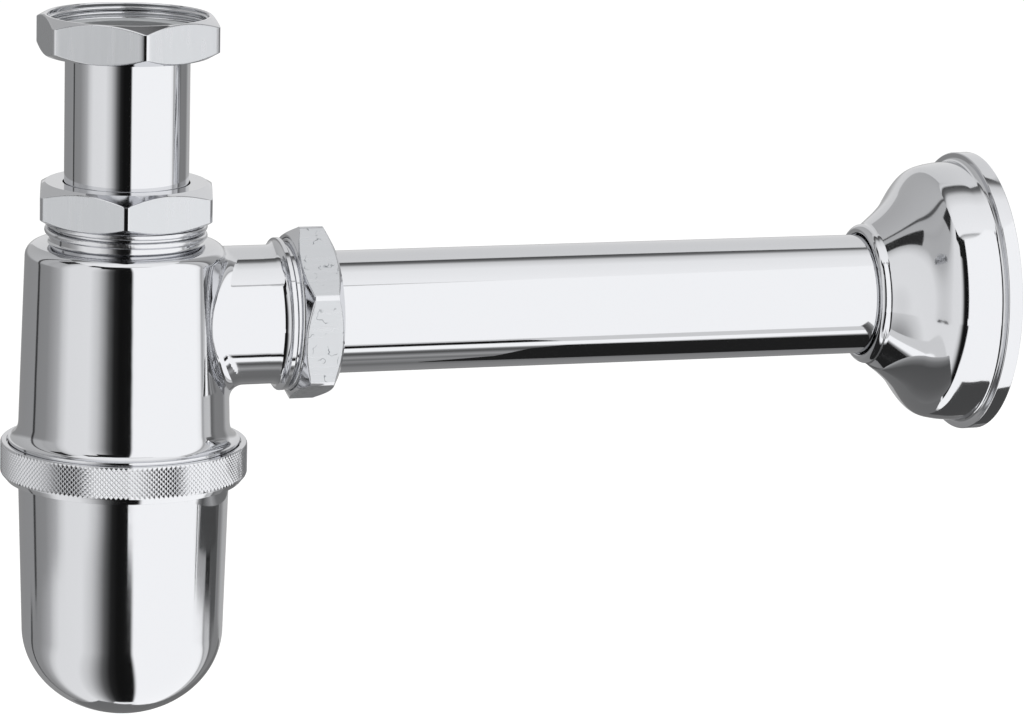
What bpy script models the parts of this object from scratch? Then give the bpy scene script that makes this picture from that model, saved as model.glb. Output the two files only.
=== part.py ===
"""Basin bottle trap: union nut and inlet tube, bottle body, cleaning cup, outlet pipe and wall flange.

The origin is the centre of the union nut's open mouth. +Z is up the inlet, +X runs along the outlet
pipe to the wall. Sizes are in millimetres and are turned to metres where a mesh is made.
"""

import math

import bmesh
import bpy
from mathutils import Matrix

MM = 0.001
SEGMENTS = 44

# Tubes, both of the standard 32 mm size
TUBE_RADIUS = 16.0
TUBE_WALL = 1.2

# Clearances
FIT = 0.3  # radial, between a tube or thread and what goes round it
SEAT_GAP = 0.2  # along the axis, between pieces that are pressed together
PASS_FIT = 0.5  # radial, between a tube and the cast bore it passes through

# Compression joints, the same on the neck and on the outlet collar
NECK_THREAD_REACH = 4.2  # tube's outside out to the middle of the neck's thread
COLLAR_THREAD_REACH = 3.2  # tube's outside out to the middle of the collar's thread
MOUTH_WALL = 1.1
SEAT_DEPTH = 4.0
SEAL_TIP_SHY = 1.0
SEAL_HEAD = 1.3
SEAL_HEAD_INSET = 0.4
SLIP_WASHER = 1.0
NUT_END_WALL = 2.3
NUT_WALL = 1.4
NUT_CORNER_TRIM = 0.3
NUT_CHAMFER = math.radians(30)
NUT_FACE_INSET = 0.3
NUT_END_INSET = 1.1
NUT_LEAD = 0.5
NECK_NUT_HEIGHT = 10.1
NECK_NUT_TURN = math.radians(-12.2)
OUTLET_NUT_HEIGHT = 10.5
OUTLET_NUT_TURN = math.radians(-20.8)

# Union nut and the tube's flange in it
UNION_THREAD_REACH = 3.6  # tube's outside out to the crest of the nut's thread
UNION_LEAD = 1.0
UNION_WALL = 2.0
UNION_HEIGHT = 10.3
UNION_END_WALL = 2.2
UNION_TURN = math.radians(-1.3)
TUBE_FLANGE = 1.4
INLET_WASHER = 2.5
INLET_WASHER_BORE_MARGIN = 0.2

# Heights down the inlet axis
TUBE_SHOWN = 32.9
NECK_SHOWN = 6.0
SHOULDER_OVER_BRANCH = 1.9
BODY_UNDER_BRANCH = 13.7
CUP_DEPTH = 72.7
WATER_SEAL = 57.2

# Bottle body
CHAMBER_GAP = 8.1
BODY_WALL = 1.8
BODY_TAPER = 1.4
SHOULDER_ROUND = 2.8
SHOULDER_SLOPE = 0.4
SHOULDER_WALL = 2.2
NECK_ROOT_INSET = 0.5
NECK_ROOT_HEIGHT = 1.2
NECK_ROOT_ROUND = 0.8
FLARE_HEIGHT = 4.5
FOOT_EDGE = 1.6
FOOT_SUNK = 0.8
FOOT_STEP = 1.1
SPIGOT_REACH = 1.6

# Side branch
BRANCH_WALL = 1.6
ROOT_FILLET = 3.8
ROOT_STEPS = 5
ROOT_BITE = 0.1
ROOT_SINK = 1.3
SHOULDER_KEEP = 1.0
NUT_FROM_BODY = 17.1
COLLAR_SHOWN = 5.5
COLLAR_RISE = 1.8
COLLAR_FLARE = 2.4
COLLAR_LAND = 1.3
COLLAR_CHAMFER = 0.3

# Cleaning cup with its knurled ring
RING_WALL = 2.8
RING_BAND = 8.4
RING_EDGE = 0.4
RING_CHAMFER = 1.6
RING_UNDERCUT = 0.6
RING_FLOOR_DEPTH = 7.8
CUP_SEAL = 1.3
CUP_WALL = 1.6
CUP_TAPER = 1.1
CUP_ROUND_HEIGHT = 22.7

# Outlet pipe and wall flange
WALL_REACH = 234.0
PIPE_INSERTION = 13.0
PIPE_END_SHY = 1.0
FLANGE_DEPTH = 32.5
FLANGE_LIP = 1.8
FLANGE_NOSE = 0.5
FLANGE_WALL = 1.1
FLANGE_NECK_RUN = 9.9
FLANGE_NECK_RISE = 7.9
FLANGE_BELL_RUN = 9.4
FLANGE_BELL_RISE = 8.0
FLANGE_BAND_RISE = 0.3
FLANGE_STEP_ROUND = 1.3
FLANGE_RIM_REACH = 2.5
FLANGE_RIM = 4.0
FLANGE_RIM_EDGE = 0.4
FLANGE_RIM_WALL = 1.8
GROOVE_SET_BACK = 1.5
GROOVE_WIDTH = 1.9
GROOVE_LAND = 1.0
FLANGE_RING_SECTION = 0.7
FLANGE_RING_GRIP = 0.28

# Radii worked out from the above
TUBE_BORE = TUBE_RADIUS - TUBE_WALL
UNION_BORE = TUBE_RADIUS + UNION_THREAD_REACH
NECK_THREAD = TUBE_RADIUS + NECK_THREAD_REACH
COLLAR_THREAD = TUBE_RADIUS + COLLAR_THREAD_REACH
CAST_BORE = TUBE_RADIUS + PASS_FIT
BODY_TOP = TUBE_RADIUS + CHAMBER_GAP + BODY_WALL
BODY_FOOT = BODY_TOP + BODY_TAPER
BRANCH = CAST_BORE + BRANCH_WALL
SPIGOT = BODY_FOOT + SPIGOT_REACH
RING_BORE = SPIGOT + FIT
RING = RING_BORE + RING_WALL
CUP_TOP = BODY_FOOT
CUP_LOW = CUP_TOP - CUP_TAPER
FLANGE_LIP_TOP = TUBE_RADIUS + PASS_FIT + FLANGE_NOSE + FLANGE_LIP
FLANGE_BAND = FLANGE_LIP_TOP + FLANGE_NECK_RISE + FLANGE_BELL_RISE
FLANGE_RIM_RADIUS = FLANGE_BAND + FLANGE_BAND_RISE + FLANGE_RIM_REACH

# Places along the inlet axis, and along the outlet axis from the inlet axis
UNION_LOW = -UNION_HEIGHT
NECK_NUT_TOP = UNION_LOW - TUBE_SHOWN
NECK_NUT_LOW = NECK_NUT_TOP - NECK_NUT_HEIGHT
SHOULDER = NECK_NUT_LOW - NECK_SHOWN
OUTLET = SHOULDER - SHOULDER_OVER_BRANCH - BRANCH
RING_TOP = OUTLET - BRANCH - BODY_UNDER_BRANCH
CUP_BOTTOM = RING_TOP - CUP_DEPTH
DIP_END = OUTLET - TUBE_BORE - WATER_SEAL
NUT_END_TO_MOUTH = NUT_END_WALL + SEAT_GAP + SLIP_WASHER + SEAT_GAP + SEAL_HEAD + SEAT_GAP
NECK_MOUTH = NECK_NUT_TOP - NUT_END_TO_MOUTH
OUTLET_NUT_NEAR = BODY_TOP + NUT_FROM_BODY
COLLAR_MOUTH = OUTLET_NUT_NEAR + OUTLET_NUT_HEIGHT - NUT_END_TO_MOUTH
FLANGE_FRONT = WALL_REACH - FLANGE_DEPTH

ALONG_X = (0, math.pi / 2, 0)


def arc(centre, radii, start, end, steps):
    """Points (radius, height) along an ellipse's arc between two angles in degrees."""
    points = []
    for step in range(steps + 1):
        angle = math.radians(start + (end - start) * step / steps)
        points.append((centre[0] + radii[0] * math.cos(angle), centre[1] + radii[1] * math.sin(angle)))
    return points


def ease(start, start_slope, end, end_slope, steps):
    """Points (radius, height) of a smooth curve whose radius grows by the given slopes at its ends."""
    run = end[1] - start[1]
    points = []
    for step in range(steps + 1):
        t = step / steps
        radius = (
            start[0] * (2 * t**3 - 3 * t**2 + 1)
            + start_slope * run * (t**3 - 2 * t**2 + t)
            + end[0] * (3 * t**2 - 2 * t**3)
            + end_slope * run * (t**3 - t**2)
        )
        points.append((radius, start[1] + run * t))
    return points


def inset(points, wall):
    """The same open curve, moved inwards by the wall's thickness, square to the curve."""
    moved = []
    for n, (radius, height) in enumerate(points):
        before, after = points[max(n - 1, 0)], points[min(n + 1, len(points) - 1)]
        along = (after[0] - before[0], after[1] - before[1])
        length = math.hypot(*along)
        moved.append((radius - wall * along[1] / length, height + wall * along[0] / length))
    return moved


def finish(piece, colour, metallic, roughness):
    """Give a piece its own material."""
    material = bpy.data.materials.new(piece.name + "_finish")
    material.use_nodes = True
    shader = material.node_tree.nodes["Principled BSDF"]
    shader.inputs["Base Color"].default_value = (*colour, 1)
    shader.inputs["Metallic"].default_value = metallic
    shader.inputs["Roughness"].default_value = roughness
    piece.data.materials.append(material)


def chrome(piece):
    finish(piece, (0.80, 0.81, 0.83), 1.0, 0.06)


def rubber(piece):
    finish(piece, (0.03, 0.03, 0.03), 0.0, 0.6)


def nylon(piece):
    finish(piece, (0.75, 0.74, 0.70), 0.0, 0.45)


def add_object(name, mesh_builder, place, turn=(0, 0, 0)):
    """Make an object from a bmesh, with its faces outwards."""
    mesh_builder.normal_update()
    bmesh.ops.recalc_face_normals(mesh_builder, faces=mesh_builder.faces)
    mesh = bpy.data.meshes.new(name)
    mesh_builder.to_mesh(mesh)
    mesh_builder.free()
    piece = bpy.data.objects.new(name, mesh)
    piece.location = [value * MM for value in place]
    piece.rotation_euler = turn
    bpy.context.scene.collection.objects.link(piece)
    return piece


def revolve(name, outline, place, turn=(0, 0, 0)):
    """A turned piece: an outline of (radius, height) points spun about the piece's own Z axis."""
    builder = bmesh.new()
    verts = [builder.verts.new((radius * MM, 0, height * MM)) for radius, height in outline]
    on_axis = max(outline[0][0], outline[-1][0]) < 1e-6
    pairs = zip(verts, verts[1:] if on_axis else verts[1:] + verts[:1])
    edges = [builder.edges.new(pair) for pair in pairs]
    bmesh.ops.spin(
        builder,
        geom=verts + edges,
        cent=(0, 0, 0),
        axis=(0, 0, 1),
        angle=2 * math.pi,
        steps=SEGMENTS,
        use_merge=True,
    )
    bmesh.ops.remove_doubles(builder, verts=builder.verts, dist=0.002 * MM)
    return add_object(name, builder, place, turn)


def combine(piece, tool, operation):
    """Keep, add or take away a hidden tool's shape."""
    tool.hide_render = True
    tool.display_type = "WIRE"
    modifier = piece.modifiers.new(tool.name, "BOOLEAN")
    modifier.operation = operation
    modifier.solver = "EXACT"
    modifier.object = tool


def ring(name, inner, outer, low, high, place, turn=(0, 0, 0)):
    """A flat ring."""
    return revolve(name, [(inner, low), (outer, low), (outer, high), (inner, high)], place, turn)


def hex_nut(name, bore, wall, lead, hole, height, end_wall, end_inset, hex_turn, way, place, turn=(0, 0, 0)):
    """A nut turned from hexagon bar: chamfered at both ends, bored from its mouth at height 0.

    The end wall, with its hole for the tube, lies at the given height along way, which is 1 or -1.
    """
    flat = bore + wall
    corner = flat / math.cos(math.pi / 6) - NUT_CORNER_TRIM
    face, end_face = flat - NUT_FACE_INSET, flat - end_inset
    rise, end_rise = ((corner - radius) * math.tan(NUT_CHAMFER) for radius in (face, end_face))
    outline = [
        (bore + lead, 0),
        (face, 0),
        (corner, rise),
        (corner, height - end_rise),
        (end_face, height),
        (hole, height),
        (hole, height - end_wall),
        (bore, height - end_wall),
        (bore, lead),
    ]
    nut = revolve(name, [(radius, way * along) for radius, along in outline], place, turn)
    builder = bmesh.new()
    bar = flat / math.cos(math.pi / 6) * MM
    bmesh.ops.create_cone(
        builder, cap_ends=True, segments=6, radius1=bar, radius2=bar, depth=4 * height * MM
    )
    bmesh.ops.rotate(builder, verts=builder.verts, matrix=Matrix.Rotation(hex_turn, 3, "Z"))
    combine(nut, add_object(name + "_bar", builder, place, turn), "INTERSECT")
    return nut


def seat_radius(thread, depth):
    """Radius of a mouth's conical seat at a depth below the mouth."""
    mouth = thread - MOUTH_WALL
    return mouth + (CAST_BORE - mouth) * depth / SEAT_DEPTH


def cone_seal(name, thread, place, turn=(0, 0, 0)):
    """A cone seal round a tube; height 0 is the mouth that it sits in."""
    inner = TUBE_RADIUS + FIT
    tip = SEAT_DEPTH - SEAL_TIP_SHY
    outline = [
        (inner, -tip),
        (seat_radius(thread, tip) - FIT, -tip),
        (seat_radius(thread, 0) - FIT, 0),
        (thread - SEAL_HEAD_INSET, SEAT_GAP),
        (thread - SEAL_HEAD_INSET, SEAT_GAP + SEAL_HEAD),
        (inner, SEAT_GAP + SEAL_HEAD),
    ]
    seal = revolve(name, outline, place, turn)
    rubber(seal)


def slip_washer(name, thread, place, turn=(0, 0, 0)):
    """The thin washer between a cone seal and its nut."""
    low = SEAT_GAP + SEAL_HEAD + SEAT_GAP
    washer = ring(name, TUBE_RADIUS + FIT, thread, low, low + SLIP_WASHER, place, turn)
    nylon(washer)


def inlet_pieces():
    """Union nut, its washer, and the flanged inlet tube that is also the dip tube."""
    nut = hex_nut(
        "inlet_union_nut",
        UNION_BORE,
        UNION_WALL,
        UNION_LEAD,
        TUBE_RADIUS + FIT,
        UNION_HEIGHT,
        UNION_END_WALL,
        NUT_FACE_INSET,
        UNION_TURN,
        -1,
        (0, 0, 0),
    )
    chrome(nut)
    flange_low = UNION_LOW + UNION_END_WALL + SEAT_GAP
    flange_top = flange_low + TUBE_FLANGE
    outline = [
        (TUBE_BORE, flange_top),
        (UNION_BORE - FIT, flange_top),
        (UNION_BORE - FIT, flange_low),
        (TUBE_RADIUS, flange_low),
        (TUBE_RADIUS, DIP_END),
        (TUBE_BORE, DIP_END),
    ]
    chrome(revolve("inlet_tube", outline, (0, 0, 0)))
    washer_low = flange_top + SEAT_GAP
    washer = ring(
        "inlet_washer",
        TUBE_BORE + INLET_WASHER_BORE_MARGIN,
        UNION_BORE - FIT,
        washer_low,
        washer_low + INLET_WASHER,
        (0, 0, 0),
    )
    rubber(washer)


def body_radius(height):
    """Outside radius of the bottle body at a height above the outlet axis."""
    corner = SHOULDER - OUTLET - SHOULDER_ROUND
    if height > corner:
        rise = min((height - corner) / SHOULDER_ROUND, 1)
        return BODY_TOP - SHOULDER_ROUND * (1 - math.sqrt(1 - rise * rise))
    foot = RING_TOP - FOOT_SUNK + FOOT_EDGE + FLARE_HEIGHT - OUTLET
    return BODY_TOP + BODY_TAPER * (corner - height) / (corner - foot)


def body_outline():
    """The body's outside as if solid, heights above the outlet axis."""
    mouth, shoulder, ring_top = (height - OUTLET for height in (NECK_MOUTH, SHOULDER, RING_TOP))
    root = NECK_THREAD - NECK_ROOT_INSET
    root_low = shoulder + SHOULDER_SLOPE
    foot_low = ring_top - FOOT_SUNK
    edge = SPIGOT + FOOT_STEP
    flare = arc(
        (edge, foot_low + FOOT_EDGE + FLARE_HEIGHT), (edge - BODY_FOOT, FLARE_HEIGHT), 180, 270, 4
    )
    return [
        (0, mouth),
        (NECK_THREAD, mouth),
        (NECK_THREAD, root_low + NECK_ROOT_HEIGHT + NECK_ROOT_INSET),
        (root, root_low + NECK_ROOT_HEIGHT),
        *arc(
            (root + NECK_ROOT_ROUND, root_low + NECK_ROOT_ROUND),
            (NECK_ROOT_ROUND, NECK_ROOT_ROUND),
            180,
            270,
            2,
        ),
        *arc(
            (BODY_TOP - SHOULDER_ROUND, shoulder - SHOULDER_ROUND),
            (SHOULDER_ROUND, SHOULDER_ROUND),
            90,
            0,
            4,
        ),
        *flare,
        (edge, foot_low),
        (SPIGOT, foot_low),
        (SPIGOT, spigot_end()),
        (0, spigot_end()),
    ]


def spigot_end():
    """Lower end of the body's threaded spigot, above the outlet axis."""
    return RING_TOP - RING_FLOOR_DEPTH + SEAT_GAP + CUP_SEAL + SEAT_GAP - OUTLET


def body_core_outline():
    """The hollow of the bottle body: chamber, neck bore and conical seat."""
    mouth, shoulder, ring_top = (height - OUTLET for height in (NECK_MOUTH, SHOULDER, RING_TOP))
    ceiling = shoulder - SHOULDER_WALL
    inner_round = SHOULDER_ROUND
    top, foot, spigot = (radius - BODY_WALL for radius in (BODY_TOP, BODY_FOOT, SPIGOT))
    past = 2.0
    return [
        (0, spigot_end() - past),
        (spigot - FIT, spigot_end() - past),
        (spigot - FIT, ring_top),
        (foot, ring_top + FLARE_HEIGHT),
        *arc((top - inner_round, ceiling - inner_round), (inner_round, inner_round), 0, 90, 2),
        (CAST_BORE, ceiling),
        (CAST_BORE, mouth - SEAT_DEPTH),
        (seat_radius(NECK_THREAD, -past), mouth + past),
        (0, mouth + past),
    ]


def branch_ring(angle_count, point_at):
    return [point_at(2 * math.pi * n / angle_count) for n in range(angle_count)]


def root_point(angle, part):
    """A point of the rolling-ball fillet between body and branch.

    The angle goes round the branch; part runs from 0 on the body to 1 on the branch. The ball is
    made smaller near the top, where the shoulder leaves it less room.
    """
    across, up = math.cos(angle), math.sin(angle)
    room = SHOULDER - OUTLET - SHOULDER_KEEP
    ball = min(ROOT_FILLET, room / up - BRANCH) if up > 0.1 else ROOT_FILLET
    centre_up = (BRANCH + ball) * up
    wall = body_radius(centre_up) - ROOT_BITE
    centre_across = (BRANCH + ball) * across
    centre_out = math.sqrt((wall + ball) ** 2 - centre_across**2)
    to_body = (-centre_out / (wall + ball), -centre_across / (wall + ball), 0)
    to_branch = (0, -across, -up)
    between = math.acos(sum(a * b for a, b in zip(to_body, to_branch)))
    weights = [math.sin(share * between) / math.sin(between) for share in (1 - part, part)]
    arm = [weights[0] * a + weights[1] * b for a, b in zip(to_body, to_branch)]
    return tuple(c + ball * a for c, a in zip((centre_out, centre_across, centre_up), arm))


def sunk_point(angle):
    """The fillet's edge on the body, moved in under the body's skin."""
    out, across, up = root_point(angle, 0)
    shrink = 1 - ROOT_SINK / math.hypot(out, across)
    return out * shrink, across * shrink, up


def branch_shape():
    """The branch's outside as if solid: root fillet, straight run, flare and threaded collar."""
    land = BRANCH + COLLAR_RISE
    flare_start = OUTLET_NUT_NEAR - COLLAR_SHOWN
    stations = [(flare_start, BRANCH)]
    stations += [
        (flare_start + COLLAR_FLARE * -down / COLLAR_RISE, radius)
        for radius, down in arc((land, 0), (COLLAR_RISE, COLLAR_RISE), 180, 270, 4)[1:]
    ]
    land_end = flare_start + COLLAR_FLARE + COLLAR_LAND
    stations += [
        (land_end, land),
        (land_end + land - COLLAR_THREAD, COLLAR_THREAD),
        (COLLAR_MOUTH - COLLAR_CHAMFER, COLLAR_THREAD),
        (COLLAR_MOUTH, COLLAR_THREAD - COLLAR_CHAMFER),
    ]
    rings = [branch_ring(SEGMENTS, sunk_point)]
    for step in range(ROOT_STEPS + 1):
        rings.append(branch_ring(SEGMENTS, lambda angle: root_point(angle, step / ROOT_STEPS)))
    for along, radius in stations:
        rings.append(
            branch_ring(SEGMENTS, lambda a: (along, radius * math.cos(a), radius * math.sin(a)))
        )
    builder = bmesh.new()
    loops = [[builder.verts.new([v * MM for v in point]) for point in points] for points in rings]
    for near, far in zip(loops, loops[1:]):
        for n in range(SEGMENTS):
            after = (n + 1) % SEGMENTS
            builder.faces.new((near[n], near[after], far[after], far[n]))
    builder.faces.new(loops[0])
    builder.faces.new(loops[-1])
    return add_object("branch_shape", builder, (0, 0, OUTLET))


def bottle_body():
    """The cast body: bottle, threaded neck, side branch with its collar, and flared foot."""
    place = (0, 0, OUTLET)
    body = revolve("trap_body", body_outline(), place)
    combine(body, branch_shape(), "UNION")
    combine(body, revolve("bottle_core", body_core_outline(), place), "DIFFERENCE")
    past = 2.0
    core = [
        (0, TUBE_RADIUS - past),
        (CAST_BORE, TUBE_RADIUS - past),
        (CAST_BORE, COLLAR_MOUTH - SEAT_DEPTH),
        (seat_radius(COLLAR_THREAD, -past), COLLAR_MOUTH + past),
        (0, COLLAR_MOUTH + past),
    ]
    combine(body, revolve("branch_core", core, place, ALONG_X), "DIFFERENCE")
    chrome(body)


def cup():
    """The cleaning cup with its ring, and the seal on the ring's floor."""
    place = (0, 0, RING_TOP)
    step_bore = SPIGOT + FOOT_STEP + FIT
    bottom = CUP_BOTTOM - RING_TOP
    round_top = bottom + CUP_ROUND_HEIGHT
    under = -RING_BAND - RING_CHAMFER
    ledge = -FOOT_SUNK - FIT
    outline = [
        *arc((0, round_top), (CUP_LOW - CUP_WALL, CUP_ROUND_HEIGHT - CUP_WALL), -90, 0, 7),
        (CUP_TOP - CUP_WALL, -RING_FLOOR_DEPTH),
        (RING_BORE, -RING_FLOOR_DEPTH),
        (RING_BORE, ledge),
        (step_bore, ledge),
        (step_bore, 0),
        (RING - RING_EDGE, 0),
        (RING, -RING_EDGE),
        (RING, -RING_BAND),
        (RING - RING_CHAMFER, under),
        *arc(
            (CUP_TOP + RING_UNDERCUT, under - RING_UNDERCUT),
            (RING_UNDERCUT, RING_UNDERCUT),
            90,
            180,
            3,
        ),
        *arc((0, round_top), (CUP_LOW, CUP_ROUND_HEIGHT), 0, -90, 9),
    ]
    chrome(revolve("bottle_cup", outline, place))
    low = -RING_FLOOR_DEPTH + SEAT_GAP
    rubber(ring("cup_seal", CUP_TOP - CUP_WALL + FIT, SPIGOT, low, low + CUP_SEAL, place))


def compression_joints():
    """Nut, slip washer and cone seal on the neck and on the outlet collar."""
    neck, collar = (0, 0, NECK_MOUTH), (COLLAR_MOUTH, 0, OUTLET)
    cone_seal("neck_cone_seal", NECK_THREAD, neck)
    slip_washer("neck_slip_washer", NECK_THREAD, neck)
    cone_seal("outlet_cone_seal", COLLAR_THREAD, collar, ALONG_X)
    slip_washer("outlet_slip_washer", COLLAR_THREAD, collar, ALONG_X)
    nuts = (
        ("neck_nut", NECK_THREAD, NECK_NUT_HEIGHT, NECK_NUT_TURN, (0, 0, NECK_NUT_LOW), (0, 0, 0)),
        (
            "outlet_nut",
            COLLAR_THREAD,
            OUTLET_NUT_HEIGHT,
            OUTLET_NUT_TURN,
            (OUTLET_NUT_NEAR, 0, OUTLET),
            ALONG_X,
        ),
    )
    for name, thread, height, hex_turn, place, turn in nuts:
        nut = hex_nut(
            name,
            thread + FIT,
            NUT_WALL,
            NUT_LEAD,
            TUBE_RADIUS + FIT,
            height,
            NUT_END_WALL,
            NUT_END_INSET,
            hex_turn,
            1,
            place,
            turn,
        )
        chrome(nut)


def outlet_pipe():
    start = OUTLET_NUT_NEAR - PIPE_INSERTION
    length = WALL_REACH - PIPE_END_SHY - start
    chrome(ring("outlet_pipe", TUBE_BORE, TUBE_RADIUS, 0, length, (start, 0, OUTLET), ALONG_X))


def wall_flange():
    """The pressed bell flange: rolled lip, ogee bell, band, and a rim that lies on the wall."""
    bore = TUBE_RADIUS + PASS_FIT
    lip_height = FLANGE_LIP
    neck_end = lip_height + FLANGE_NECK_RUN
    bell_end = neck_end + FLANGE_BELL_RUN
    rim_front = FLANGE_DEPTH - FLANGE_RIM
    band_end = FLANGE_BAND + FLANGE_BAND_RISE
    neck_radius = FLANGE_LIP_TOP + FLANGE_NECK_RISE
    flank = ease((FLANGE_LIP_TOP, lip_height), 0.7, (neck_radius, neck_end), 1.3, 5)
    flank += ease((neck_radius, neck_end), 1.3, (FLANGE_BAND, bell_end), 0.1, 5)[1:]
    flank.append((band_end, rim_front - FLANGE_STEP_ROUND))
    step = arc(
        (band_end + FLANGE_STEP_ROUND, rim_front - FLANGE_STEP_ROUND),
        (FLANGE_STEP_ROUND, FLANGE_STEP_ROUND),
        180,
        90,
        3,
    )[1:]
    rim = FLANGE_RIM_RADIUS
    rim_edge = arc((rim - FLANGE_RIM_EDGE, rim_front + FLANGE_RIM_EDGE), (FLANGE_RIM_EDGE,) * 2, -90, 0, 2)
    groove = FLANGE_LIP_TOP - FLANGE_WALL + FIT / 2
    groove_start = GROOVE_SET_BACK
    groove_end = groove_start + GROOVE_WIDTH
    land_end = groove_end + GROOVE_LAND
    inner = [point for point in inset(flank, FLANGE_WALL) if point[1] > land_end + FLANGE_WALL]
    rim_inner = rim - FLANGE_RIM_WALL
    outline = [
        (bore, FIT),
        *arc((FLANGE_LIP_TOP - lip_height, lip_height), (lip_height, lip_height), -90, 0, 4)[:-1],
        *flank,
        *step,
        *rim_edge,
        (rim, FLANGE_DEPTH),
        (rim_inner, FLANGE_DEPTH),
        (rim_inner, rim_front + FLANGE_WALL),
        (band_end - FLANGE_WALL, rim_front + FLANGE_WALL),
        *reversed(inner),
        (bore + FLANGE_WALL, land_end),
        (bore, land_end),
        (bore, groove_end),
        (groove, groove_end),
        (groove, groove_start),
        (bore, groove_start),
    ]
    chrome(revolve("wall_flange", outline, (FLANGE_FRONT, 0, OUTLET), ALONG_X))
    section = FLANGE_RING_SECTION
    centre = (TUBE_RADIUS + FLANGE_RING_GRIP + section, (groove_start + groove_end) / 2)
    outline = arc(centre, (section, section), 0, 360, 8)[:-1]
    rubber(revolve("flange_ring", outline, (FLANGE_FRONT, 0, OUTLET), ALONG_X))


def main():
    for old in list(bpy.data.objects):
        bpy.data.objects.remove(old, do_unlink=True)
    inlet_pieces()
    bottle_body()
    cup()
    compression_joints()
    outlet_pipe()
    wall_flange()


main()
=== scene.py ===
"""Chrome-plated bottle trap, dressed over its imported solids."""

import math

import bpy
import numpy as np
from mathutils import Matrix, Vector


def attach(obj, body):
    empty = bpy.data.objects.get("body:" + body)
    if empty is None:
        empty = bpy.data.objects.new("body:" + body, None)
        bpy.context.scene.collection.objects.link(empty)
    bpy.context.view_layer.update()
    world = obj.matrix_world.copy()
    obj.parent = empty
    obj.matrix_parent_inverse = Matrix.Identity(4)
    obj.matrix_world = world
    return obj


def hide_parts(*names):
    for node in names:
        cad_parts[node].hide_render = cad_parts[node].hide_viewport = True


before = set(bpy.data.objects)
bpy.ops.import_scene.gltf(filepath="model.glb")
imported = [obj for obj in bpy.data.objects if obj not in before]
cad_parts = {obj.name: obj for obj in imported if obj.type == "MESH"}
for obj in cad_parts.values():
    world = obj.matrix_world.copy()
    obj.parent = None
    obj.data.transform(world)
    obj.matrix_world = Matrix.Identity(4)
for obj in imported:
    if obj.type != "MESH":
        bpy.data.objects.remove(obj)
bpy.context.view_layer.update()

MM = 0.001
SEGMENTS = 224
UP, OUTWARDS = "up", "outwards"  # a turned piece's axis: up the bottle, or out to the wall

# Sizes of the solids that the dressed pieces follow, in millimetres
TUBE, TUBE_BORE = 16.0, 14.8
OUTLET = -79.3
UNION_APOTHEM, UNION_CORNER, UNION_HEIGHT = 21.6, 24.64, 10.3
TUBE_HOLE = 16.3  # in nuts, washers and seals that a tube goes through
TUBE_FLANGE, TUBE_FLANGE_TOP, TUBE_FLANGE_LOW = 19.3, -6.5, -7.9
DIP_END = -151.3
NECK_NUT_LOW, NECK_APOTHEM, NECK_CORNER, NECK_NUT_HEIGHT = -53.3, 21.9, 24.9, 10.1
NECK_MOUTH, NECK_THREAD_ROOT, NECK_THREAD = -48.4, 19.7, 20.2
SHOULDER, SHOULDER_ROUND, SHOULDER_SLOPE = -59.3, 2.8, 0.154
BODY_TOP, BODY_TAPER, BODY_CORNER, BODY_FOOT = 25.9, 1.4, -62.1, -105.8
CAST_BORE = 16.5
BRANCH, ROOT_FILLET, ROOT_ROOM = 18.1, 3.8, 19.0
SKIN_WALL, SKIN_LOW, SKIN_END = 1.2, -104.5, 35.0
UNDER = 0.012  # how far a turned piece starts under the body's skin
COLLAR_MOUTH, COLLAR_THREAD_ROOT, COLLAR_THREAD = 48.3, 18.7, 19.2
OUTLET_NUT_NEAR, OUTLET_APOTHEM, OUTLET_CORNER, OUTLET_NUT_HEIGHT = 43.0, 20.9, 23.83, 10.5
FOOT, FOOT_LOW, SPIGOT, SPIGOT_LOW = 30.0, -111.9, 28.9, -117.2
RING_TOP, RING_FLOOR, RING_LOW = -111.1, -118.9, -121.1
RING, RING_KNURL_ROOT, RING_BORE = 32.0, 31.72, 29.2
CUP_TOP, CUP_LOW, CUP_ROUND_TOP, CUP_BOTTOM, CUP_WALL = 27.3, 26.2, -161.1, -183.8, 1.6
PIPE_START, PIPE_END = 30.0, 233.0
FLANGE_FRONT, FLANGE_DEPTH, FLANGE_RIM, FLANGE_HOLE, FLANGE_GROOVE = 201.5, 32.5, 37.5, 16.5, 17.85
PIPE_THREAD_PITCH = 2.309  # eleven threads to the inch
UNION_THREAD_PITCH = 1.27


def linear(hex_colour):
    """An sRGB hex colour as linear red, green, blue and alpha."""
    channels = [int(hex_colour[n : n + 2], 16) / 255 for n in (0, 2, 4)]
    return (*[c / 12.92 if c < 0.04045 else ((c + 0.055) / 1.055) ** 2.4 for c in channels], 1)


def add(tree, kind, inputs=None, **settings):
    """Add one node with its settings; an input is a value, or a node or socket to link from."""
    node = tree.nodes.new(kind)
    for name, value in settings.items():
        setattr(node, name, value)
    for name, value in (inputs or {}).items():
        if isinstance(value, bpy.types.Node):
            value = value.outputs[0]
        if isinstance(value, bpy.types.NodeSocket):
            tree.links.new(value, node.inputs[name])
        else:
            node.inputs[name].default_value = value
    return node


def set_stops(ramp, stops):
    """Give a colour ramp its (place, hex colour) stops."""
    elements = ramp.color_ramp.elements
    elements[0].position, elements[0].color = stops[0][0], linear(stops[0][1])
    elements[1].position, elements[1].color = stops[-1][0], linear(stops[-1][1])
    for place, colour in stops[1:-1]:
        elements.new(place).color = linear(colour)


# Materials

PLAIN = (1, 1, 1)


def inside(material):
    """A material's node tree and its main shader."""
    return material.node_tree, material.node_tree.nodes["Principled BSDF"]


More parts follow.
